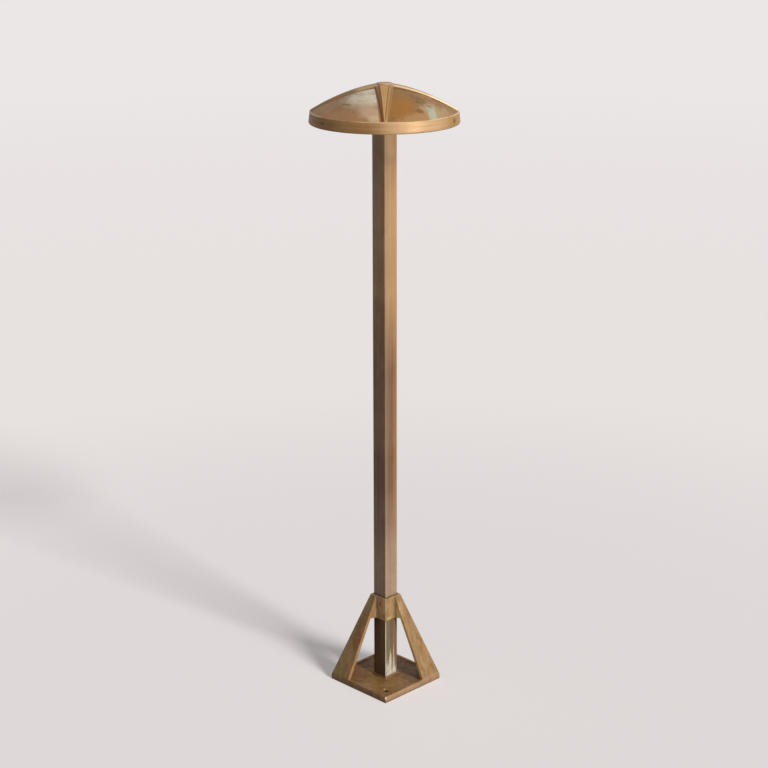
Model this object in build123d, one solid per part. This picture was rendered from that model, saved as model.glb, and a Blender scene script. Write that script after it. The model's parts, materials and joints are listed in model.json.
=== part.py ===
from build123d import *
from math import atan, cos
import os

os.makedirs("parts", exist_ok=True)

# A garden post light in cast bronze, in millimetres. It stands on z = 0 with its post on the z axis.
# The sides of the square base lie along x and y. The two legs rise from its (+x, +y) and (-x, -y) corners.

# Post
post_side = 25.4
post_wall = 1.65
post_corner = 0.6
post_length = 889.0
fit = 0.25

# Base casting
base_side = 121.3
base_edge = 6.3
base_corner = 1.6
lip_rise = 3.2
lip_width = 4.5
floor_drop = 1.3
floor_corner = 3.0
seat_height = 4.5
boss_rise = 2.6
boss_margin = 1.8
boss_inset = 0.6
collar_top = 145.3
collar_height = 37.3
collar_wall = 2.65
collar_round = 0.5
collar_crest = 0.6
flange = 3.6
leg_margin = 0.8
hip_round = 0.5
leg_turn = 180.0
leg_root = 4.6
leg_foot = 24.0
anchor_inset = 18.5
anchor_hole = 8.0
anchor_chamfer = 0.8

# Set screws
grub = 5.0
grub_key = 2.5
grub_socket = 2.0
grub_point = 0.8
thread_gap = 0.1
tip_gap = 0.05
post_grub_length = 4.0
collar_grub_drop = 11.6

# Hat casting: heights are above the rim's lower edge
hat_radius = 109.2
band_inset = 2.0
band_height = 17.2
band_wall = 3.8
band_round = 2.4
crest_bevel = 0.8
crest_step = 0.5
hat_wall = 3.0
panel_rise = 51.9
panel_bulge = 4.4
cap_half = 11.5
cap_rise = 56.8
cap_bevel = 0.8
rib_count = 4
rib_turn = 45.0
rib_foot_rise = 1.3
rib_head_rise = 55.2
rib_bulge = 5.2
rib_foot_half = 6.8
rib_head_half = 13.0
rib_bevel_width = 6.1
rib_bevel_drop = 3.0
shoulder_height = 13.5
shoulder_width = 8.0
pad_width = 14.0
pad_depth = 3.6
pad_lift = 3.6
pad_root = 1.0
rim_screw_count = 3
rim_screw_turn = 21.0
rim_screw_height = 9.0
rim_screw_sink = 0.5

# Lamp tray, lens and bezel
rim_to_post_top = 13.9
lens_recess = 5.0
lens_thickness = 3.0
lens_gap = 0.4
gasket_thickness = 1.0
tray_gap = 0.5
skirt_wall = 6.0
seat_margin = 1.5
ledge_width = 5.0
ledge_thickness = 3.0
roof_height = 14.0
roof_thickness = 2.5
roof_run = 19.5
dome_radius = 36.0
dome_rise = 13.0
web_thickness = 5.0
bezel_thickness = 2.7
bezel_lip = 6.0
bezel_edge = 4.8
bezel_screw_count = 6
bezel_screw_turn = 53.0

# Lamp board
board_thickness = 1.6
board_gap = 3.0
dome_gap = 4.8
led_side = 3.5
led_height = 1.2
led_count = 18
led_turn = 5.0
component_slots = 12
component_turn = 165.0
connector_turn = 45.0
connector_length = 8.0
connector_width = 7.0
connector_height = 3.6
component_side = 6.0
component_height = 2.6
capacitor_radius = 2.6
capacitor_height = 4.5

# Post head
head_grip = 20.0
neck_radius = 20.0
neck_gap = 0.3
neck_roof = 3.6
boss_wall = 8.6
head_flange = 3.5
head_margin = 5.0
sleeve_wall = 3.8
sleeve_round = 2.0

# Screws that hold the lamp together
bolt_count = 4
bolt_radius = 2.0
bolt_head = 3.5
bolt_reach = 6.0
washer_thickness = 0.8
screw_radius = 1.25
screw_head = 2.0
bezel_reach = 6.0
board_reach = 1.8
screw_gap = 0.1

# Wiring
cable_radius = 3.2
cable_spare = 1.0
core_radius = 0.9
core_spread = 1.6
core_drop = 4.0
core_bend = 3.4
grip = 0.05
grommet_wall = 2.6
grommet_flange = 2.4
grommet_lip = 1.5
grommet_recess = 0.6
tie_width = 2.5
tie_thickness = 1.3

# Places that follow from these sizes
collar_half = post_side / 2 + fit + collar_wall
collar_bottom = collar_top - collar_height
leg_top = collar_top - collar_crest
leg_half = collar_half + leg_margin
batter = (base_side / 2 - leg_half) / (leg_top - base_edge)
flange_inset = flange / cos(atan(batter))
lip_top = base_edge + lip_rise
floor_top = lip_top - floor_drop
boss_top = floor_top + boss_rise
socket_half = post_side / 2 + fit
post_top = seat_height + post_length
rim = post_top - rim_to_post_top
lens_z = rim + lens_recess
ledge_z = lens_z + lens_thickness + gasket_thickness
shoulder_z = rim + shoulder_height
roof_z = lens_z + roof_height
dome_z = roof_z + dome_rise
band_inside = hat_radius - band_wall
band_top = hat_radius - band_inset
crest = band_top - crest_bevel
hat_seat = band_inside - shoulder_width
pad_radius = band_inside - pad_depth
tray_radius = pad_radius - tray_gap
skirt_radius = tray_radius - skirt_wall
lens_radius = skirt_radius - lens_gap
roof_radius = skirt_radius - roof_run
dome_inside = dome_radius - roof_thickness
bore_radius = neck_radius + neck_gap
boss_radius = bore_radius + boss_wall
lens_hole = boss_radius + lens_gap
flange_radius = lens_hole + head_margin
head_bottom = post_top - head_grip
flange_bottom = lens_z - head_flange
neck_top = post_top + fit + neck_roof
board_outer = roof_radius - board_gap
board_inner = dome_radius + dome_gap
board_z = roof_z - board_thickness
grommet_hole = cable_radius + grommet_wall
rim_screw_angles = [rim_screw_turn + 360 / rim_screw_count * k for k in range(rim_screw_count)]

UP = (Align.CENTER, Align.CENTER, Align.MIN)


def half_at(z):
    """Half the width of the base's pyramid at a height."""
    return leg_half + (leg_top - z) * batter


def ring(inner, outer, low, high):
    """A flat ring between two heights, or a disc where inner is 0."""
    outline = Circle(outer) - Circle(inner) if inner else Circle(outer)
    return extrude(Plane.XY.offset(low) * outline, high - low)


def square(half, low, high):
    """A square block on the axis between two heights."""
    return extrude(Plane.XY.offset(low) * Rectangle(2 * half, 2 * half), high - low)


def pyramid(inset, low, high, corner=0.0):
    """The part between two heights of the pyramid that the legs follow, with its faces moved in."""
    sides = [2 * (half_at(z) - inset) for z in (low, high)]
    sections = [Plane.XY.offset(z) * Rectangle(side, side) for z, side in zip((low, high), sides)]
    solid = loft(sections, ruled=True)
    if corner:
        hips = [e for e in solid.edges() if e.bounding_box().size.Z > (high - low) / 2]
        solid = fillet(hips, corner)
    return solid


def around(count, radius, z, first=0.0):
    """Evenly spaced places on a circle about the axis."""
    return [Pos(0, 0, z) * Rot(0, 0, first + 360 / count * k) * Pos(radius, 0, 0) for k in range(count)]


def outward(angle, start, z):
    """A place whose z axis points away from the post at an angle, start from the axis."""
    return Rot(0, 0, angle) * Pos(start, 0, z) * Rot(0, 90, 0)


def grub_screw(length):
    """A socket set screw along z, with its point at the origin."""
    body = Cylinder(grub / 2, length, align=UP)
    body = chamfer(body.edges().sort_by(Axis.Z)[0], grub_point)
    key = RegularPolygon(grub_key / 2, 6, major_radius=False)
    return body - extrude(Plane.XY.offset(length - grub_socket) * key, grub_socket)


def cap_screw(shank, head, reach):
    """A screw whose round head hangs below the origin and whose shank rises from it."""
    height = 0.65 * head
    top = Pos(0, 0, -height) * Cylinder(head, height, align=UP)
    top = chamfer(top.edges().sort_by(Axis.Z)[0], height / 4)
    key = Plane.XY.offset(-height) * RegularPolygon(head / 2.2, 6, major_radius=False)
    return top - extrude(key, height / 2) + Cylinder(shank, reach, align=UP)


def grommet(low, thickness):
    """A rubber grommet in a wall from low upward, with a lip on each face."""
    outer = grommet_hole + grommet_flange
    high = low + thickness
    body = ring(0, grommet_hole, low, high)
    body += ring(0, outer, low - grommet_lip, low) + ring(0, outer, high, high + grommet_lip)
    return body - ring(0, cable_radius + grip, low - grommet_lip, high + grommet_lip)


def post_tube():
    inside = post_side - 2 * post_wall
    outline = RectangleRounded(post_side, post_side, post_corner) - Rectangle(inside, inside)
    return extrude(Plane.XY.offset(seat_height) * outline, post_length)


def leg():
    """The (+x, +y) leg: two flanges that meet on the hip, with a solid head beside the collar.

    Upright planes that fan out from the collar to the plate's edge cut it on both sides.
    """
    edge = base_side / 2
    plan = Polyline(
        (leg_root, leg_root), (collar_half, leg_root), (edge, leg_foot), (edge, edge),
        (leg_foot, edge), (leg_root, collar_half), close=True,
    )
    fan = extrude(Plane.XY.offset(base_edge) * make_face(plan), leg_top - base_edge)
    body = pyramid(0, base_edge, leg_top, hip_round) & fan
    return body - pyramid(flange_inset, base_edge, collar_bottom)


def plate():
    """The base plate: an upright edge, a lip in line with the legs' faces, a floor and the post's boss."""
    body = extrude(RectangleRounded(base_side, base_side, base_corner), base_edge)
    body += pyramid(0, base_edge, lip_top, base_corner)
    inside = 2 * (half_at(lip_top) - lip_width)
    body -= extrude(Plane.XY.offset(floor_top) * RectangleRounded(inside, inside, floor_corner), lip_rise)
    foot = 2 * (socket_half + boss_margin)
    top = foot - 2 * boss_inset
    sections = ((floor_top, foot), (boss_top, top))
    return body + loft([Plane.XY.offset(z) * Rectangle(side, side) for z, side in sections], ruled=True)


def collar_screw_place(side):
    """The place of the front (1) or rear (-1) collar screw on the post's face, with z pointing out."""
    across = (collar_half - leg_root) / 2
    return Pos(side * across, -side * post_side / 2, collar_top - collar_grub_drop) * Rot(90 * side, 0, 0)


def anchor_places():
    reach = base_side / 2 - anchor_inset
    return [Pos(reach, -reach, 0), Pos(-reach, reach, 0)]


def collar():
    outline = RectangleRounded(2 * collar_half, 2 * collar_half, hip_round)
    body = extrude(Plane.XY.offset(collar_bottom) * outline, collar_height)
    return fillet(body.edges().group_by(Axis.Z)[-1], collar_round)


def base_casting():
    body = plate() + collar() + leg() + Rot(0, 0, leg_turn) * leg()
    body -= square(socket_half, collar_bottom - 1, collar_top + 1)
    body -= square(socket_half, seat_height, boss_top + 1)
    body -= ring(0, grommet_hole, 0, seat_height)
    body -= ring(0, grommet_hole + grommet_flange + fit, 0, grommet_recess + grommet_lip)
    for place in anchor_places():
        body -= place * ring(0, anchor_hole / 2, 0, floor_top)
        sink = Cone(anchor_hole / 2, anchor_hole / 2 + anchor_chamfer, anchor_chamfer, align=UP)
        body -= place * Pos(0, 0, floor_top - anchor_chamfer) * sink
    for side in (1, -1):
        body -= collar_screw_place(side) * Cylinder(grub / 2 + thread_gap, 2 * post_grub_length, align=UP)
    return body


def hat_curve(outer, low, high, bulge):
    """A parabola from the hat's outer edge up to its cap that bulges above its chord."""
    middle = ((outer + cap_half) / 2, (low + high) / 2 + 2 * bulge)
    return Bezier((outer, low), middle, (cap_half, high))


def turned(lines):
    """The solid that an outline of radii and heights above the rim sweeps round the axis."""
    return revolve(Plane.XZ * make_face(lines), Axis.Z)


def hat_rib():
    """One rib along x: a block under the crest line, tapered in plan, with a wide bevel on each side."""
    low = band_height + rib_foot_rise
    top = hat_curve(crest, low, rib_head_rise, rib_bulge)
    rest = Polyline(
        (cap_half, rib_head_rise), (0, rib_head_rise), (0, shoulder_height),
        (crest, shoulder_height), (crest, low),
    )
    rib = Pos(0, hat_radius, 0) * extrude(Plane.XZ * make_face(top + rest), 2 * hat_radius)
    flare = (rib_head_half - rib_foot_half) / (crest - cap_half)
    for side in (Vector(0, 1, 0), Vector(0, -1, 0)):
        cut = Plane(Vector(crest, 0, low) + side * rib_foot_half, z_dir=side + Vector(flare, 0, 0))
        rib = split(rib, bisect_by=cut, keep=Keep.BOTTOM)
        flank = rib.faces().filter_by(lambda f: f.normal_at().dot(side) > 0.9)[0]
        top_edge = flank.edges().filter_by(lambda e: e.geom_type != GeomType.LINE)
        rib = chamfer(top_edge, rib_bevel_drop, rib_bevel_width, reference=flank)
    return rib


def hat_body():
    """The band and the bulging panels, solid below."""
    inner = crest - crest_step
    low = band_height - crest_step
    shoulder = (band_top, band_height - crest_bevel)
    band = FilletPolyline((0, 0), (hat_radius, 0), shoulder, radius=band_round)
    band += Polyline(shoulder, (crest, band_height), (inner, low))
    rest = Polyline((cap_half, panel_rise), (0, panel_rise), (0, 0))
    return turned(band + hat_curve(inner, low, panel_rise, panel_bulge) + rest)


def hat_hollow():
    """The space inside: the band's bore, the shoulder that rests on the tray and the panels' underside."""
    low = shoulder_height + hat_wall
    high = panel_rise - hat_wall
    rest = Polyline(
        (cap_half, high), (0, high), (0, 0), (band_inside, 0),
        (band_inside, shoulder_height), (hat_seat, shoulder_height), (hat_seat, low),
    )
    return turned(hat_curve(hat_seat, low, high, panel_bulge) + rest)


def hat_cap():
    """The round button that stands a little above the heads of the ribs."""
    cap = ring(0, cap_half, panel_rise, cap_rise)
    return chamfer(cap.edges().sort_by(Axis.Z)[-1], cap_bevel)


def hat():
    body = hat_body() + hat_cap()
    rib = hat_rib()
    for k in range(rib_count):
        body += Rot(0, 0, rib_turn + 360 / rib_count * k) * rib
    body -= hat_hollow()
    depth = pad_depth + pad_root
    pad = Box(depth, pad_width, shoulder_height - pad_lift, align=UP)
    hole = Cylinder(grub / 2 + thread_gap, 3 * depth, align=UP)
    for angle in rim_screw_angles:
        body += Rot(0, 0, angle) * Pos(pad_radius + depth / 2, 0, pad_lift) * pad
        body -= outward(angle, pad_radius, rim_screw_height) * hole
    return Pos(0, 0, rim) * body


def rim_screw(angle):
    face = hat_radius - band_inset * rim_screw_height / band_height
    start = tray_radius + tip_gap
    return outward(angle, start, rim + rim_screw_height) * grub_screw(face - rim_screw_sink - start)


def bezel_screw_places(z):
    return around(bezel_screw_count, skirt_radius + bezel_edge / 2, z, bezel_screw_turn)


def bolt_places(z):
    return around(bolt_count, bore_radius + boss_wall / 2, z)


def board_screw_places(z):
    return around(bolt_count, board_inner + 2 * screw_head, z)


def tray_outline():
    """The tray's half section: wiring dome, sloping roof, rim, lens seat and roof underside."""
    ledge_radius = skirt_radius - ledge_width
    return Polyline(
        (0, dome_z), (0, dome_z + roof_thickness),
        (dome_radius - roof_thickness, dome_z + roof_thickness), (dome_radius, dome_z),
        (dome_radius, roof_z + roof_thickness), (roof_radius, roof_z + roof_thickness),
        (hat_seat - seat_margin, shoulder_z), (tray_radius, shoulder_z), (tray_radius, lens_z),
        (skirt_radius, lens_z), (skirt_radius, ledge_z), (ledge_radius, ledge_z),
        (ledge_radius, ledge_z + ledge_thickness), (roof_radius, roof_z), (dome_inside, roof_z),
        (dome_inside, dome_z), close=True,
    )


def lamp_tray():
    """The turned tray, whose four webs carry the post head's boss."""
    body = revolve(Plane.XZ * make_face(tray_outline()), Axis.Z)
    boss_low = lens_z + gasket_thickness
    web_top = dome_z + roof_thickness / 2
    web = Box(dome_radius - bore_radius - roof_thickness / 2, web_thickness, web_top - ledge_z, align=UP)
    for place in around(bolt_count, (bore_radius + dome_radius) / 2, ledge_z):
        body += place * web
    body += ring(bore_radius, boss_radius, boss_low, roof_z)
    body += ring(bore_radius, flange_radius, ledge_z, ledge_z + ledge_thickness)
    body -= ring(0, bore_radius, boss_low, roof_z)
    for place in bezel_screw_places(lens_z):
        body -= place * Cylinder(screw_radius + screw_gap, bezel_reach, align=UP)
    for place in bolt_places(boss_low):
        body -= place * Cylinder(bolt_radius + screw_gap, bolt_reach, align=UP)
    for place in board_screw_places(roof_z):
        body -= place * Cylinder(screw_radius + screw_gap, board_reach, align=UP)
    return body


def post_head():
    """The casting on the post's top: a square sleeve, a flange under the lens and a neck inside the tray."""
    side = 2 * (socket_half + sleeve_wall)
    outline = Plane.XY.offset(head_bottom) * RectangleRounded(side, side, sleeve_round)
    body = extrude(outline, flange_bottom - head_bottom)
    body += ring(0, flange_radius, flange_bottom, lens_z) + ring(0, neck_radius, lens_z, neck_top)
    body -= square(socket_half, head_bottom, post_top + fit)
    body -= ring(0, grommet_hole, post_top, neck_top)
    for place in bolt_places(flange_bottom):
        body -= place * Cylinder(bolt_radius + screw_gap, head_flange, align=UP)
    for angle in (-90, 90):
        body -= head_screw_place(angle) * Cylinder(grub / 2 + thread_gap, 2 * sleeve_wall, align=UP)
    return body


def head_screw_place(angle):
    return outward(angle, post_side / 2, (head_bottom + flange_bottom) / 2)


def diffuser_lens():
    return ring(lens_hole, lens_radius, lens_z, lens_z + lens_thickness)


def lens_bezel():
    body = ring(lens_radius - bezel_lip, skirt_radius + bezel_edge, lens_z - bezel_thickness, lens_z)
    body = chamfer(body.edges().group_by(Axis.Z)[0], bezel_thickness / 3)
    for place in bezel_screw_places(lens_z - bezel_thickness):
        body -= place * Cylinder(screw_radius + screw_gap, bezel_thickness, align=UP)
    return body


def head_gasket():
    body = ring(bore_radius, boss_radius, lens_z, lens_z + gasket_thickness)
    for place in bolt_places(lens_z):
        body -= place * Cylinder(bolt_radius + screw_gap, gasket_thickness, align=UP)
    return body


def led_board():
    body = ring(board_inner, board_outer, board_z, roof_z)
    for place in board_screw_places(board_z):
        body -= place * Cylinder(screw_radius + screw_gap, board_thickness, align=UP)
    return body


def led_chips():
    middle = board_inner + 0.6 * (board_outer - board_inner)
    chip = Box(led_side, led_side, led_height, align=(Align.CENTER, Align.CENTER, Align.MAX))
    return [place * chip for place in around(led_count, middle, board_z, led_turn)]


def board_electronics():
    """The rectifier, coil and regulator as blocks, and two capacitors, on the board's inner edge."""
    down = (Align.CENTER, Align.CENTER, Align.MAX)
    block = Box(component_side, component_side, component_height, align=down)
    can = Cylinder(capacitor_radius, capacitor_height, align=down)
    pieces = (block, can, block, can, block)
    places = around(component_slots, board_inner + component_side, board_z, component_turn)
    return [place * piece for place, piece in zip(places, pieces)]


def board_connector():
    start = board_inner + lens_gap
    body = Box(connector_length, connector_width, connector_height, align=UP)
    place = Pos(start + connector_length / 2, 0, board_z - connector_height)
    return Rot(0, 0, connector_turn) * place * body


def supply_cable():
    return ring(0, cable_radius, grommet_recess, cable_top())


def cable_top():
    return neck_top + grommet_lip + tie_width + cable_spare


def cable_tie():
    low = neck_top + grommet_lip
    band = ring(cable_radius + grip, cable_radius + tie_thickness, low, low + tie_width)
    reach = cable_radius + 1.5 * tie_thickness
    head = Pos(reach, 0, low) * Box(2 * tie_thickness, 3 * tie_thickness, tie_width, align=UP)
    return band + (Rot(0, 0, 180) * (head - ring(0, cable_radius + grip, low, low + tie_width)))


def supply_core(side):
    """One core, from the cable's end over the boss and down to the board's connector."""
    high = dome_z - core_drop
    drop = (boss_radius + dome_inside) / 2
    low = board_z - connector_height / 2
    points = [(0, cable_top()), (0, high), (drop, high), (drop, low), (board_inner + lens_gap, low)]
    path = FilletPolyline(*[(x, side * core_spread, z) for x, z in points], radius=core_bend)
    start = Plane((0, side * core_spread, cable_top()), z_dir=(0, 0, 1))
    return Rot(0, 0, connector_turn) * sweep(start * Circle(core_radius), path=path)


def write(name, shape):
    solids = shape if isinstance(shape, list) else [shape]
    whole = Compound(children=[s for item in solids for s in item.solids()]) if len(solids) > 1 else shape
    export_step(whole, f"parts/{name}.step")


write("post_tube", post_tube())
write("base_casting", base_casting())
write("collar_screw_front", collar_screw_place(1) * Pos(0, 0, tip_gap) * grub_screw(post_grub_length))
write("collar_screw_rear", collar_screw_place(-1) * Pos(0, 0, tip_gap) * grub_screw(post_grub_length))
write("base_grommet", grommet(grommet_recess + grommet_lip, seat_height - grommet_recess - grommet_lip))
write("hat", hat())
for name, angle in zip(("rim_screw_right", "rim_screw_rear", "rim_screw_left"), rim_screw_angles):
    write(name, rim_screw(angle))
write("lamp_tray", lamp_tray())
write("post_head", post_head())
write("head_screw_front", head_screw_place(-90) * Pos(0, 0, tip_gap) * grub_screw(post_grub_length))
write("head_screw_rear", head_screw_place(90) * Pos(0, 0, tip_gap) * grub_screw(post_grub_length))
washer = ring(bolt_radius + screw_gap, bolt_head, -washer_thickness, 0)
write("head_washers", [place * washer for place in bolt_places(flange_bottom)])
bolt = cap_screw(bolt_radius, bolt_head, washer_thickness + head_flange + gasket_thickness + bolt_reach)
write("head_bolts", [place * bolt for place in bolt_places(flange_bottom - washer_thickness)])
write("head_gasket", head_gasket())
write("head_grommet", grommet(post_top + fit, neck_roof))
write("diffuser_lens", diffuser_lens())
write("inner_gasket", ring(lens_hole, flange_radius, lens_z + lens_thickness, ledge_z))
write("outer_gasket", ring(skirt_radius - ledge_width, lens_radius, lens_z + lens_thickness, ledge_z))
write("lens_bezel", lens_bezel())
bezel_screw = cap_screw(screw_radius, screw_head, bezel_thickness + bezel_reach)
write("bezel_screws", [place * bezel_screw for place in bezel_screw_places(lens_z - bezel_thickness)])
write("led_board", led_board())
write("led_chips", led_chips())
write("board_electronics", board_electronics())
write("board_connector", board_connector())
board_screw = cap_screw(screw_radius, screw_head, board_thickness + board_reach)
write("board_screws", [place * board_screw for place in board_screw_places(board_z)])
write("supply_cable", supply_cable())
write("cable_tie", cable_tie())
write("supply_core_red", supply_core(1))
write("supply_core_black", supply_core(-1))
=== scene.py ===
"""A garden post light in aged bronze: a ribbed round hat on a square post above a flanged pyramid base."""

import json
import math

import bpy
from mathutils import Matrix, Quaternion, Vector

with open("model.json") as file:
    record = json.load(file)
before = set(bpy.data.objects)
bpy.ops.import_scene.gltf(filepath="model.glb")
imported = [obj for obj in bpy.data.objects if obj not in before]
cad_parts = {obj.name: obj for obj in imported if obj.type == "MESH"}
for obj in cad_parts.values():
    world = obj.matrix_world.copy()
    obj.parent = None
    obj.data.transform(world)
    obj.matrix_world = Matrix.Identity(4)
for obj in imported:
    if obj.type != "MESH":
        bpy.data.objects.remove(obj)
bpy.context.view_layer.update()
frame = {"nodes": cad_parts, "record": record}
nodes = frame["nodes"]
scene = bpy.context.scene

# What the finishes follow on the pieces, in metres. A rib's half width grows by RIB_FLARE per metre inwards.
RIM = 0.8796
BAND_TOP = RIM + 0.0172
RIB_FOOT = 0.1064
RIB_FOOT_HALF = 0.0068
RIB_FLARE = 0.0653
RIB_BEVEL = 0.0061
COLLAR_BOTTOM = 0.108
COLLAR_HALF = 0.0156
FLOOR_TOP = 0.0082
DIAGONAL = math.sqrt(0.5)

# The mask of an upright side rises between two distances from the post's axis, just inside that side.
POST_SIDE = (0.0118, 0.0124)
COLLAR_SIDE = (0.0150, COLLAR_HALF)
BASE_SIDE = (0.0585, 0.0598)


# ---------------------------------------------------------------- shader sheet

RAYS = {"samples": 6}


class Value:
    """One socket in a finish. Sums and products written in Python become nodes."""

    def __init__(self, finish, socket):
        self.finish = finish
        self.socket = socket

    def math(self, operation, *values):
        return self.finish.node("ShaderNodeMath", {"operation": operation}, dict(enumerate(values)))

    def __add__(self, other):
        return self.math("ADD", self, other)

    def __sub__(self, other):
        return self.math("SUBTRACT", self, other)

    def __rsub__(self, other):
        return self.math("SUBTRACT", other, self)

    def __mul__(self, other):
        return self.math("MULTIPLY", self, other)

    def __truediv__(self, other):
        return self.math("DIVIDE", self, other)

    def __pow__(self, other):
        return self.math("POWER", self, other)

    def __neg__(self):
        return self * -1.0

    def __abs__(self):
        return self.math("ABSOLUTE", self)

    __radd__ = __add__
    __rmul__ = __mul__

    def larger(self, other):
        return self.math("MAXIMUM", self, other)

    def between(self, low, high):
        """0 below low and 1 above high, smooth in between. It falls where low is the larger."""
        return self.finish.node(
            "ShaderNodeMapRange",
            {"interpolation_type": "SMOOTHSTEP"},
            {"Value": self, "From Min": low, "From Max": high},
        )

    def within(self, start, full, fade, end):
        """1 from full to fade, 0 before start and after end, smooth in between."""
        return self.between(start, full) * self.between(end, fade)


class Finish:
    """A material, or the world, and the nodes that make it, in the object's own metres."""

    def __init__(self, name, kind=bpy.data.materials):
        self.material = kind.new(name)
        self.material.use_nodes = True
        self.tree = self.material.node_tree
        self.tree.nodes.clear()
        self.place = self.node("ShaderNodeTexCoord", output="Object")
        self.x, self.y, self.z = (
            self.node("ShaderNodeSeparateXYZ", {}, {0: self.place}, output) for output in range(3)
        )

    def node(self, kind, settings=None, values=None, output=0):
        node = self.tree.nodes.new(kind)
        for key, value in (settings or {}).items():
            setattr(node, key, value)
        for key, value in (values or {}).items():
            if isinstance(value, Value):
                self.tree.links.new(value.socket, node.inputs[key])
            else:
                node.inputs[key].default_value = value
        return None if output is None else Value(self, node.outputs[output])

    def vector(self, operation, first, second, output="Vector"):
        return self.node("ShaderNodeVectorMath", {"operation": operation}, {0: first, 1: second}, output)

    def mix(self, factor, first, second):
        """From one colour to another."""
        colours = {6: first, 7: second}
        values = {k: v if isinstance(v, Value) else (*v, 1.0) for k, v in colours.items()}
        return self.node("ShaderNodeMix", {"data_type": "RGBA"}, {0: factor, **values}, 2)

    def noise(self, per_metre, detail=3.0, roughness=0.55, warp=0.0, seed=0.0, place=None):
        """Noise with its own fineness along each axis."""
        stretched = self.vector("MULTIPLY", place or self.place, per_metre)
        moved = self.vector("ADD", stretched, (seed, seed * 1.7, seed * 0.6))
        values = {"Vector": moved, "Scale": 1.0, "Detail": detail, "Roughness": roughness, "Distortion": warp}
        return self.node("ShaderNodeTexNoise", {}, values)

    def around_axis(self):
        """A place whose first two parts turn with the angle about the post and whose third is the radius."""
        radius = (self.x * self.x + self.y * self.y) ** 0.5
        parts = {0: self.x / radius, 1: self.y / radius, 2: radius}
        return self.node("ShaderNodeCombineXYZ", {}, parts)

    def quarter(self, sign_x, sign_y):
        """1 in the quarter of the plan where x and y have these signs, 0 in the others."""
        along_x, along_y = self.x * sign_x, self.y * sign_y
        return (along_x + along_y - abs(along_x - along_y)).between(0.000, 0.010)

    def spot(self, centre, radii, ragged=0.3, fineness=90.0, seed=0.0):
        """1 inside an egg-shaped spot with a ragged border, 0 outside it, in millimetres."""
        away = self.vector("SUBTRACT", self.place, tuple(v / 1000 for v in centre))
        away = self.vector("MULTIPLY", away, tuple(1000 / r for r in radii))
        distance = self.vector("LENGTH", away, (0, 0, 0), "Value")
        rough = self.noise((fineness, fineness, fineness), detail=5.0, roughness=0.65, seed=seed)
        return (distance + (rough - 0.5) * (2.6 * ragged)).between(1.3, 0.6)

    def patch(self, colour, paint, strength, centre, radii, **border):
        """A colour with one spot of paint on it. strength is a number or a mask."""
        return self.mix(self.spot(centre, radii, **border) * strength, colour, paint)

    def edges(self, radius):
        """1 on the sharp edges of a solid, 0 on its faces."""
        soft = self.node("ShaderNodeBevel", RAYS, {"Radius": radius})
        flat = self.node("ShaderNodeNewGeometry", output="Normal")
        return self.vector("DOT_PRODUCT", soft, flat, "Value").between(0.995, 0.9)

    def corners(self, reach):
        """1 deep in a corner or under an overhang, 0 in the open."""
        open_share = self.node("ShaderNodeAmbientOcclusion", RAYS, {"Distance": reach}, "AO")
        return open_share.between(0.95, 0.35)

    def finish(self, colour, roughness, metallic, height, depth, round_by=0.0, **fixed):
        """The material, with a relief of this depth. round_by is how far light softens the edges."""
        values = {"Base Color": colour, "Roughness": roughness, "Metallic": metallic}
        bump = {"Height": height, "Distance": depth, "Strength": 1.0}
        if round_by:
            bump["Normal"] = self.node("ShaderNodeBevel", RAYS, {"Radius": round_by})
        values["Normal"] = self.node("ShaderNodeBump", {}, bump)
        values.update({key.replace("_", " "): value for key, value in fixed.items()})
        shader = self.node("ShaderNodeBsdfPrincipled", {}, values)
        self.node("ShaderNodeOutputMaterial", {"target": "ALL"}, {"Surface": shader}, None)
        return self.material


# ---------------------------------------------------------------- bronze

UMBER = (0.075, 0.040, 0.022)
BROWN = (0.230, 0.125, 0.058)
TAN = (0.370, 0.220, 0.105)
GOLD = (0.600, 0.390, 0.195)
VERDIGRIS = (0.420, 0.430, 0.330)
MINERAL = (0.640, 0.590, 0.500)


def bronze(name, grain, paint, round_axis=False, edge_wear_and_highlight=0.45, stains=0.15):
    """Aged bronze: brushed streaks and clouds of tone, a piece's own paint, painted shade and dirt in corners,
    and worn edges with a painted highlight.
    """
    f = Finish(name)
    place = f.around_axis() if round_axis else f.place
    streak = f.noise(grain, detail=5.0, roughness=0.62, place=place)
    cloud = f.noise((16.0, 16.0, 16.0), detail=4.0, roughness=0.6, warp=0.6, seed=3.0)
    fine = f.noise((900.0, 900.0, 900.0), detail=2.0, seed=5.0)
    tone = (streak * 0.6 + cloud * 0.5).between(0.34, 0.76)
    colour, dull = paint(f, tone, streak, cloud)
    specks = f.noise((38.0, 38.0, 38.0), detail=6.0, roughness=0.7, warp=1.0, seed=9.0).between(0.60, 0.72)
    colour = f.mix(specks * stains, colour, VERDIGRIS)
    # Painted shade, with dirt: darker in corners and under overhangs.
    colour = f.mix(f.corners(0.010) * 0.6, colour, UMBER)
    edge = f.edges(0.0009)
    # Worn edges with a painted highlight: the sharp edges are lighter and golden.
    colour = f.mix(edge * edge_wear_and_highlight, colour, GOLD)
    roughness = 0.50 - edge * 0.12 + dull * 0.2 - tone * 0.08
    metallic = (0.12 + tone * 0.14 + edge * 0.3) * (1.0 - dull)
    height = streak * 0.3 + fine * 0.3 + specks * 0.3
    return f.finish(colour, roughness, metallic, height, 0.00016, round_by=0.0005, Specular_IOR_Level=0.15)


# Each paint below gives a colour, and how dull and stone-like the surface is, from 0 to 1.


def cast_paint(f, tone, streak, cloud):
    """Plain cast bronze, for the pieces under the hat."""
    return f.mix(tone, BROWN, TAN), cloud.between(0.6, 0.8) * 0.4


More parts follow.
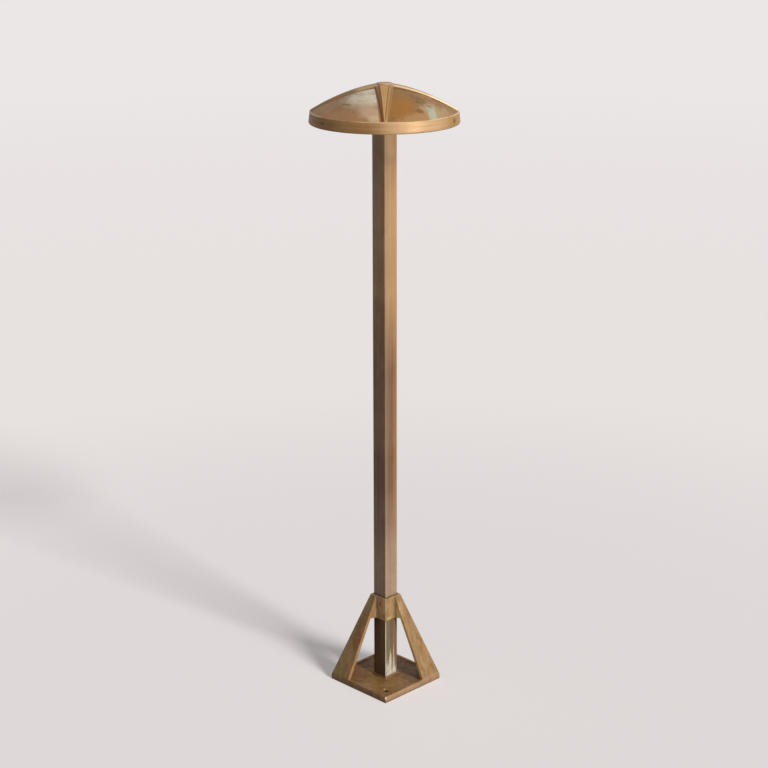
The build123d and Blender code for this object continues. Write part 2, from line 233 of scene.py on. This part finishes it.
def hat_band(f, glint):
    """The hat's band, brushed lengthwise: a painted highlight makes it lightest at the front right, painted
    shade darkens its far left, and a thin painted highlight line runs along its top.
    """
    brushed = f.noise((9.0, 9.0, 460.0), detail=5.0, roughness=0.6, seed=15.0).between(0.3, 0.7)
    colour = f.mix(brushed, (0.25, 0.135, 0.048), (0.37, 0.215, 0.090))
    # Painted highlight: a golden sheen at the front right, toward the lamps.
    painted_sheen = f.mix(brushed, (0.43, 0.265, 0.130), (0.56, 0.37, 0.205))
    colour = f.patch(colour, painted_sheen, 0.9, (100, -40, 888), (44, 60, 40), ragged=0.2, seed=1.0)
    far_right = f.y.between(0.010, 0.060) * f.x.between(0.04, 0.08)
    colour = f.mix(far_right * 0.5, colour, (0.46, 0.260, 0.085))
    # Painted shade: the far left, away from the lamps, is darker.
    painted_shade_far_left = f.x.between(-0.050, -0.095)
    colour = f.mix(painted_shade_far_left * 0.55, colour, (0.13, 0.068, 0.036))
    stain, hole = (0.25, 0.125, 0.040), (100.9, 38.8, 888.8)
    colour = f.patch(colour, stain, 0.85, hole, (5.5, 5.5, 4.5), ragged=0.2, seed=16.0)
    # Painted highlight: a thin bright line along the band's top edge.
    line = f.z.within(BAND_TOP - 0.0012, BAND_TOP - 0.0008, BAND_TOP - 0.0001, BAND_TOP + 0.0004)
    return f.mix(line * glint * 0.8, colour, (0.85, 0.62, 0.40))


def left_panel(f, face, panel):
    """Pale and weathered near the cap, rusty and blushed near the band. Also says where it is pale."""
    rust, blush = (0.43, 0.215, 0.098), (0.56, 0.385, 0.255)
    dash, drop = (0.19, 0.098, 0.043), (0.62, 0.45, 0.29)
    smear = f.noise((34.0, 34.0, 260.0), detail=5.0, roughness=0.65, seed=12.0).between(0.70, 0.40)
    pale = f.spot((12, -38, 920), (42, 40, 42), ragged=0.25, fineness=40.0, seed=2.0)
    pale = pale * (0.45 + smear * 0.55)
    weathered = f.mix(f.z.between(0.908, 0.924), (0.52, 0.390, 0.260), (0.82, 0.745, 0.600))
    some, most = panel * 0.7, panel * 0.85
    face = f.patch(face, rust, panel * 0.6, (18, -98, 900), (46, 16, 16), ragged=0.4, seed=4.0)
    face = f.mix(panel * pale * 0.95, face, weathered)
    face = f.patch(face, blush, most, (46, -72, 905), (22, 15, 14), ragged=0.35, fineness=60.0, seed=18.0)
    face = f.patch(face, dash, some, (-3, -72.5, 911.8), (10, 2.0, 4), fineness=200.0, seed=19.0)
    face = f.patch(face, drop, some, (60, -80, 899), (10, 8, 10), ragged=0.5, fineness=300.0, seed=6.0)
    return face, pale


def right_panel(f, face, panel, streak):
    """Orange, brushed tan at its right, with a slanting green-grey drift. Also says where the drift is."""
    ember, low, haze = (0.360, 0.150, 0.030), (0.45, 0.265, 0.115), (0.45, 0.335, 0.180)
    patina, smudge, brown = (0.44, 0.45, 0.35), (0.20, 0.070, 0.028), (0.26, 0.105, 0.040)
    face = f.mix(panel * 0.85, face, f.mix(streak, (0.23, 0.105, 0.022), (0.34, 0.175, 0.050)))
    face = f.patch(face, ember, panel * 0.7, (62, -36, 914), (30, 26, 24), ragged=0.35, seed=7.0)
    face = f.patch(face, low, panel * 0.7, (100, -30, 898), (20, 46, 10), ragged=0.4, seed=8.0)
    brushed = panel * streak.between(0.26, 0.56)
    face = f.patch(face, haze, brushed * 0.85, (88, 14, 904), (24, 28, 20), ragged=0.45, seed=10.0)

    slant = f.y + (f.x - 0.0935) * 0.75 - 0.0007
    drift = (slant + (streak - 0.5) * 0.020).between(-0.0100, -0.0045)
    drift = drift * slant.between(0.0095, 0.0045) * f.x.between(0.072, 0.080)
    drift = drift * f.spot((92, -2, 903), (22, 22, 16), fineness=190.0, seed=11.0)
    face = f.mix(panel * drift * 0.9, face, patina)

    border = {"ragged": 0.5, "fineness": 240.0, "seed": 13.0}
    face = f.patch(face, smudge, panel * 0.65, (85, -14.5, 906), (6, 6, 5), **border)
    border = {"ragged": 0.5, "fineness": 120.0, "seed": 20.0}
    face = f.patch(face, brown, panel * 0.5, (78, 30, 907.5), (10, 8, 8), **border)
    lines = panel * streak.between(0.56, 0.40)
    return f.patch(face, UMBER, lines * 0.6, (62, 6, 916), (26, 10, 16), seed=14.0), drift


def hat_ribs(f, tone, glint, above, front, toward_x, along, inside):
    """The ribs in painted light and shade: the front one lit along its right flank and shaded on its left, the
    right one bright, the left one dull.
    """
    to_left = f.quarter(-1, -1)
    to_right = f.quarter(1, 1)

    # Painted highlight: a lit strip along each flank, warmer where the glint noise is high.
    lit = inside.between(RIB_BEVEL - 0.0036, RIB_BEVEL - 0.0026)
    warm = f.mix(glint, (0.37, 0.205, 0.072), (0.56, 0.335, 0.135))
    flank = f.mix(lit, (0.29, 0.160, 0.052), warm)
    # Painted shade: the front rib's left flank, away from the lamps, is darker.
    shaded = f.mix(lit, (0.40, 0.170, 0.050), (0.30, 0.125, 0.030))
    flank = f.mix((1.0 - toward_x) * front, flank, shaded)
    # The left rib: a painted highlight on its flank near the cap, browner and redder further out.
    reddish = along.within(0.054, 0.064, 0.072, 0.084)
    lower = f.mix(reddish, (0.26, 0.175, 0.078), (0.34, 0.165, 0.080))
    flank = f.mix(to_left, flank, f.mix(along.between(0.034, 0.046), (0.50, 0.330, 0.170), lower))
    # Painted highlight: the right rib's flank shines, with a dark line along its outer edge.
    shine = f.mix(glint, (0.80, 0.540, 0.300), (0.95, 0.760, 0.520))
    flank = f.mix(to_right, flank, f.mix(inside.between(0.0016, 0.0026), (0.15, 0.075, 0.030), shine))

    # Rib tops in painted light and shade: the left rib's darker, the right rib's lighter where the glint noise
    # is high.
    top = f.mix(tone, (0.46, 0.255, 0.090), (0.62, 0.365, 0.145))
    top = f.mix(to_left, top, f.mix(tone, (0.30, 0.180, 0.085), (0.42, 0.262, 0.135)))
    top = f.mix(to_right, top, f.mix(glint, (0.42, 0.250, 0.115), (0.70, 0.470, 0.250)))

    ridge = inside.between(RIB_BEVEL - 0.0004, RIB_BEVEL + 0.0004) * above
    ribs = f.mix(ridge, flank, top)
    # A dark line where the front rib's top meets its flanks.
    dark_ridge_line = inside.within(RIB_BEVEL - 0.0010, RIB_BEVEL - 0.0004, RIB_BEVEL, RIB_BEVEL + 0.0008)
    return f.mix(dark_ridge_line * front * 0.8, ribs, (0.12, 0.062, 0.026))


def hat_paint(f, tone, streak, cloud):
    """The hat: a brushed band, a pale panel to the left, an orange one to the right, the ribs in painted light
    and shade, and the cap.
    """
    above = f.z.between(BAND_TOP - 0.0004, BAND_TOP + 0.0002)
    across = (abs(f.x) - abs(f.y)) * DIAGONAL
    along = (abs(f.x) + abs(f.y)) * DIAGONAL
    inside = RIB_FOOT_HALF + (RIB_FOOT - along) * RIB_FLARE - abs(across)
    rib = inside.between(-0.0004, 0.0002) * above
    toward_x = across.between(-0.0005, 0.0005)
    front = f.quarter(1, -1)
    left = (-f.y - abs(f.x)).between(0.000, 0.002) * above * (1.0 - rib)
    right = (f.x - abs(f.y)).between(0.000, 0.002) * above * (1.0 - rib)
    # Noise that varies how bright the painted highlights are.
    glint = f.noise((14.0, 14.0, 14.0), detail=3.0, seed=17.0).between(0.42, 0.60)

    face = f.mix(tone, (0.23, 0.12, 0.045), (0.38, 0.215, 0.090))
    face, pale = left_panel(f, face, left)
    face, drift = right_panel(f, face, right, streak)
    face = f.mix(rib, face, hat_ribs(f, tone, glint, above, front, toward_x, along, inside))
    # Painted shade: a dark line beside the front rib's left side, and one at the foot of the other ribs where
    # they meet the panels.
    beside = 0.0025 + (RIB_FOOT - along) * 0.111 - abs(across)
    painted_shade_line = beside.within(-0.0016, -0.0006, 0.0002, 0.0012) * front * (1.0 - toward_x)
    foot = inside.within(-0.0022, -0.0008, 0.0, 0.0012) * (1.0 - front)
    face = f.mix((painted_shade_line * 0.85 + foot * 0.5) * above, face, (0.10, 0.050, 0.022))
    cap = along.between(0.0128, 0.0118) * above
    face = f.mix(cap * 0.8, face, (0.50, 0.345, 0.22))
    return f.mix(above, hat_band(f, glint), face), (left * pale + right * drift) * 0.8


def post_foot(f, colour, streak, sunny):
    """The post under its collar: moss, rust and mineral streaks. Also says where the minerals are."""
    border = {"ragged": 0.4, "fineness": 120.0}
    moss = f.mix(streak, (0.125, 0.098, 0.045), (0.23, 0.190, 0.105))
    colour = f.patch(colour, moss, sunny * 0.8, (12.7, -8, 70), (6, 6.5, 60), seed=3.0, **border)
    rust = (0.27, 0.150, 0.085)
    colour = f.patch(colour, rust, sunny * 0.6, (12.7, 7, 75), (6, 4, 45), seed=4.0, **border)
    drips = f.noise((420.0, 420.0, 11.0), detail=4.0, roughness=0.6, seed=21.0)
    scratch = f.noise((1500.0, 1500.0, 130.0), detail=4.0, roughness=0.6, seed=22.0).between(0.38, 0.56)
    crust = (drips + f.z.between(0.085, 0.010) * 0.34).between(0.68, 0.80) * sunny
    crust = crust * (0.3 + scratch * 0.7) * f.y.within(-0.0118, -0.0098, 0.0095, 0.0125)
    front_edge = sunny * f.y.between(-0.0110, -0.0118) * drips.between(0.34, 0.48) * 0.75
    crust = crust.larger(front_edge)
    return f.mix(crust * 0.9, colour, MINERAL), crust


def post_paint(f, tone, streak, cloud):
    """The post: gold at the top, with painted light on its lit side there, browner and greyer down, painted
    shade on its shaded side, streaked with minerals at its foot.
    """
    colour = f.mix(tone, (0.33, 0.185, 0.085), (0.46, 0.285, 0.150))
    middle = f.mix(tone, (0.142, 0.075, 0.041), (0.235, 0.130, 0.074))
    colour = f.mix(f.z.between(0.64, 0.50), colour, middle)
    # Painted light: the top of the post's side toward the lamps is gold, making up for the hat's shadow there.
    bright = f.x.between(*POST_SIDE)
    gold = f.mix(tone, (0.50, 0.300, 0.145), (0.66, 0.430, 0.240))
    colour = f.mix(bright * f.z.between(0.795, 0.845) * 0.85, colour, gold)
    colour = f.mix(bright * f.y.between(0.002, 0.0125) * 0.35, colour, (0.50, 0.265, 0.095))
    colour = f.mix(bright * f.y.between(-0.003, -0.0125) * 0.35, colour, (0.29, 0.225, 0.165))
    grey = f.mix(tone, (0.27, 0.182, 0.122), (0.43, 0.312, 0.218))
    colour = f.mix(f.z.between(0.34, 0.18) * 0.85, colour, grey)

    # Painted shade: the side away from the lamps is darker and greyer.
    shade = (-f.y).between(*POST_SIDE)
    colour = f.mix(shade * 0.45, colour, f.mix(tone, (0.13, 0.082, 0.055), (0.24, 0.165, 0.120)))
    cool, border = (0.200, 0.205, 0.190), {"ragged": 0.4, "fineness": 40.0, "seed": 2.0}
    colour = f.patch(colour, cool, shade * 0.45, (-9, -12.7, 790), (7, 6, 100), **border)

    under = f.z.between(COLLAR_BOTTOM + 0.001, COLLAR_BOTTOM - 0.003)
    dark = f.mix(tone, (0.085, 0.044, 0.022), (0.19, 0.112, 0.062))
    colour = f.mix(under * 0.85, colour, dark)
    return post_foot(f, colour, streak, bright * under)


def leg_paint(f, colour, tone, cloud):
    """The base's left leg: olive at its foot, rusty halfway up, grey-green along its outer corner."""
    leg = (-f.x - f.y).between(0.016, 0.030) * f.z.between(0.008, 0.012)
    colour = f.mix(leg * 0.55, colour, f.mix(tone, (0.27, 0.145, 0.060), (0.42, 0.245, 0.108)))
    moss = f.mix(cloud, (0.210, 0.170, 0.070), (0.30, 0.205, 0.085))
    border = {"ragged": 0.5, "fineness": 60.0, "seed": 2.0}
    colour = f.patch(colour, moss, leg * 0.6, (-48, -56, 30), (18, 12, 46), **border)
    rust = (0.22, 0.095, 0.040)
    colour = f.patch(colour, rust, leg * 0.7, (-24, -39, 74), (9, 10, 24), ragged=0.5, seed=3.0)
    corner = abs(f.x - f.y).between(0.012, 0.002)
    return f.mix(leg * corner * 0.5, colour, (0.20, 0.200, 0.130))


def floor_paint(f, colour, tone):
    """The base's shallow floor: earthy, redder to the left and more golden to the front right."""
    ground = f.z.within(FLOOR_TOP - 0.0017, FLOOR_TOP - 0.0007, FLOOR_TOP + 0.0006, FLOOR_TOP + 0.0016)
    colour = f.mix(ground * 0.9, colour, f.mix(tone, (0.16, 0.072, 0.028), (0.29, 0.150, 0.062)))
    red = f.mix(tone, (0.14, 0.062, 0.008), (0.27, 0.122, 0.014))
    colour = f.patch(colour, red, ground * 0.8, (-30, -34, 8), (44, 40, 20), fineness=50.0, seed=24.0)
    gold = f.mix(tone, (0.25, 0.135, 0.040), (0.42, 0.245, 0.090))
    border = {"ragged": 0.4, "fineness": 50.0, "seed": 7.0}
    return f.patch(colour, gold, ground * 0.7, (30, -30, 8), (38, 38, 20), **border)


def collar_paint(f, colour, tone, streak):
    """The collar's two front sides, with a spot of lime. Also says where the lime is."""
    collar = f.z.between(COLLAR_BOTTOM - 0.001, COLLAR_BOTTOM + 0.001)
    left = collar * abs(f.y + COLLAR_HALF).between(0.0010, 0.0005)
    colour = f.mix(left * 0.85, colour, f.mix(tone, (0.35, 0.205, 0.098), (0.58, 0.365, 0.178)))
    right = collar * f.x.between(*COLLAR_SIDE)
    right = right * abs(f.y).between(COLLAR_HALF + 0.0004, COLLAR_HALF - 0.0006)
    streaky = f.mix(streak.between(0.35, 0.65), (0.24, 0.145, 0.060), (0.46, 0.315, 0.155))
    colour = f.mix(right * 0.6, colour, streaky)
    lime = f.spot((15.6, -7.5, 109), (3, 5, 4.5), ragged=0.35, fineness=250.0, seed=6.0)
    return f.mix(lime * 0.8, colour, (0.40, 0.330, 0.090)), lime


def base_paint(f, tone, streak, cloud):
    """The base: golden tan on its right leg, olive and brown on its left one, mottled all over."""
    colour = f.mix(tone, (0.20, 0.112, 0.050), (0.34, 0.205, 0.100))
    right = (f.x + f.y).between(-0.004, 0.012)
    colour = f.mix(right * 0.8, colour, f.mix(tone, (0.210, 0.122, 0.050), (0.330, 0.205, 0.096)))
    colour = leg_paint(f, colour, tone, cloud)
    ember, green = (0.42, 0.200, 0.085), (0.300, 0.270, 0.060)
    colour = f.patch(colour, ember, 0.7, (45, 45, 57), (9, 8, 15), ragged=0.4, fineness=120.0, seed=4.0)
    colour = f.patch(colour, green, 0.8, (60.5, 60.5, 8), (5, 4, 5), seed=5.0)
    colour = floor_paint(f, colour, tone)
    colour, lime = collar_paint(f, colour, tone, streak)
    # Painted shade on the lip's side away from the lamps, painted light on its side toward them.
    painted_shade_lip = f.mix(cloud, (0.12, 0.065, 0.030), (0.24, 0.170, 0.070))
    colour = f.mix((-f.y).between(*BASE_SIDE) * 0.55, colour, painted_shade_lip)
    colour = f.mix(f.x.between(*BASE_SIDE) * 0.35, colour, (0.44, 0.290, 0.185))

    mottle = f.noise((60.0, 60.0, 36.0), detail=6.0, roughness=0.7, warp=1.3, seed=23.0)
    colour = f.mix(mottle.between(0.53, 0.66) * 0.4, colour, (0.13, 0.065, 0.028))
    colour = f.mix(mottle.between(0.47, 0.35) * 0.3, colour, (0.50, 0.325, 0.165))
    # Painted highlights: three small glints on the lip and the floor.
    glint = (0.85, 0.66, 0.48)
    glints = (((60, -60, 8), 1.6, 2), ((37, -39.5, 8.2), 1.5, 2), ((52, 26, 9), 1.6, 3))
    for centre, radius, height in glints:
        colour = f.patch(colour, glint, 0.7, centre, (radius, radius, height), ragged=0.2, fineness=500.0)
    return colour, lime + cloud.between(0.62, 0.8) * 0.3


finishes = {
    "hat_bronze": bronze("hat_bronze", (26.0, 26.0, 130.0), hat_paint, round_axis=True),
    "base_bronze": bronze("base_bronze", (160.0, 160.0, 34.0), base_paint, edge_wear_and_highlight=0.4, stains=0.1),
    "post_bronze": bronze("post_bronze", (420.0, 420.0, 7.0), post_paint, edge_wear_and_highlight=0.2, stains=0.06),
    "head_bronze": bronze("head_bronze", (120.0, 120.0, 300.0), cast_paint),
    "bezel_bronze": bronze("bezel_bronze", (120.0, 120.0, 300.0), cast_paint),
}


# ---------------------------------------------------------------- other materials

PLAIN = {
    "tray_aluminium": {"colour": (0.55, 0.55, 0.54), "roughness": 0.35, "metallic": 0.9},
    "frosted_glass": {"colour": (0.86, 0.86, 0.82), "roughness": 0.5, "Transmission_Weight": 0.6},
    "board_white": {"colour": (0.8, 0.8, 0.77), "roughness": 0.5},
    "lamp_chips": {"colour": (0.85, 0.68, 0.18), "roughness": 0.4},
    "black_components": {"colour": (0.02, 0.02, 0.02), "roughness": 0.4},
    "connector_nylon": {"colour": (0.75, 0.72, 0.62), "roughness": 0.45},
    "cable_jacket": {"colour": (0.02, 0.02, 0.02), "roughness": 0.55},
    "core_red": {"colour": (0.35, 0.015, 0.01), "roughness": 0.4},
    "core_black": {"colour": (0.015, 0.015, 0.015), "roughness": 0.4},
    "tie_nylon": {"colour": (0.03, 0.03, 0.03), "roughness": 0.45},
    "seal_rubber": {"colour": (0.025, 0.025, 0.025), "roughness": 0.65},
    "stainless_screws": {"colour": (0.26, 0.15, 0.07), "roughness": 0.5, "metallic": 0.3},
}


def plain(name, colour, roughness, metallic=0.0, **fixed):
    """One colour with a fine grain."""
    f = Finish(name)
    fine = f.noise((400.0, 400.0, 400.0), detail=3.0)
    shade = f.mix(fine.between(0.3, 0.7), tuple(0.86 * c for c in colour), colour)
    return f.finish(shade, roughness + fine * 0.1, metallic, height=fine, depth=0.00008, **fixed)


finishes.update({name: plain(name, **look) for name, look in PLAIN.items()})

slots = {row["node"]: row["material_slot"] for row in frame["record"]["subparts"]}
for name, node in nodes.items():
    node.data.materials.clear()
    node.data.materials.append(finishes[slots[name]])


# ---------------------------------------------------------------- studio

SUNLIGHT = (1.0, 0.97, 0.93)


def seen_directly(f):
    """1 for what the camera, a mirror or a glass shows, 0 for light that only bounces."""
    rays = ("Is Camera Ray", "Is Glossy Ray", "Is Transmission Ray")
    camera, glossy, glass = (f.node("ShaderNodeLightPath", output=ray) for ray in rays)
    return camera.larger(glossy.larger(glass))


def floor():
    """Pale paper that is a little darker near the lamp. It keeps the lamp's shadow."""
    f = Finish("floor_paper")
    seen = seen_directly(f)
    away = f.x * f.x + f.y * f.y
    glow = f.mix(away.between(0.1, 2.5), (0.244, 0.221, 0.218), (0.314, 0.284, 0.280))
    glow = f.mix(away.between(1.0, 50.0), glow, (0.345, 0.330, 0.335))
    shader = f.node("ShaderNodeBsdfPrincipled", {}, {
        "Base Color": f.mix(seen, (0.44, 0.42, 0.41), (0.750, 0.740, 0.760)),
        "Roughness": 1.0,
        "Specular IOR Level": 0.0,
        "Emission Color": f.mix(seen, (0.0, 0.0, 0.0), glow),
        "Emission Strength": 1.0,
    })
    f.node("ShaderNodeOutputMaterial", {"target": "ALL"}, {"Surface": shader}, None)
    bpy.ops.mesh.primitive_plane_add(size=60.0, location=(0, 0, 0))
    plane = bpy.context.object
    plane.name = "floor"
    plane.data.materials.append(f.material)


def sky():
    """A dim studio round the lamp, seen as the same pale colour as the paper."""
    f = Finish("studio", bpy.data.worlds)
    colour = f.mix(seen_directly(f), (0.15, 0.15, 0.15), (0.80, 0.78, 0.77))
    shader = f.node("ShaderNodeBackground", {}, {"Color": colour, "Strength": 1.0})
    f.node("ShaderNodeOutputWorld", {}, {"Surface": shader}, None)
    scene.world = f.material


def sun(name, toward, strength, width):
    """A soft lamp far away. toward points from the object to the lamp, and width is in degrees."""
    lamp = bpy.data.lights.new(name, "SUN")
    lamp.energy = strength
    lamp.angle = math.radians(width)
    lamp.color = SUNLIGHT
    holder = bpy.data.objects.new(name, lamp)
    holder.rotation_mode = "QUATERNION"
    holder.rotation_quaternion = Vector(toward).to_track_quat("Z", "Y")
    scene.collection.objects.link(holder)


floor()
sky()
sun("key_high", (1.0, -0.03, 0.70), 2.5, 14)
sun("key_low", (1.0, -0.03, 0.09), 1.5, 10)


# ---------------------------------------------------------------- camera

# Fitted to the post's edges, the base's corners and the hat's rim. Distances are in metres, angles in radians,
# the sensor in millimetres. What ends in PIXELS counts in a square picture that is FRAME_PIXELS wide.
SENSOR = 36.0
FRAME_PIXELS = 768.0
FOCAL_PIXELS = 1780.0
ASIDE_PIXELS = 1.03
PITCH = 0.3036
ROLL = -0.0023
YAW = math.radians(45) + ASIDE_PIXELS / FOCAL_PIXELS
DISTANCE = 2.546
HEIGHT = 1.2845

lens = bpy.data.cameras.new("camera")
lens.sensor_width = SENSOR
lens.lens = SENSOR * FOCAL_PIXELS / FRAME_PIXELS
lens.clip_start = 0.05
lens.clip_end = 100.0
camera = bpy.data.objects.new("camera", lens)
camera.location = (DISTANCE * DIAGONAL, -DISTANCE * DIAGONAL, HEIGHT)
camera.rotation_mode = "QUATERNION"
camera.rotation_quaternion = (
    Quaternion((0, 0, 1), YAW) @ Quaternion((1, 0, 0), math.pi / 2 - PITCH) @ Quaternion((0, 0, 1), ROLL)
)
scene.collection.objects.link(camera)
scene.camera = camera
scene.view_settings.view_transform = "Standard"
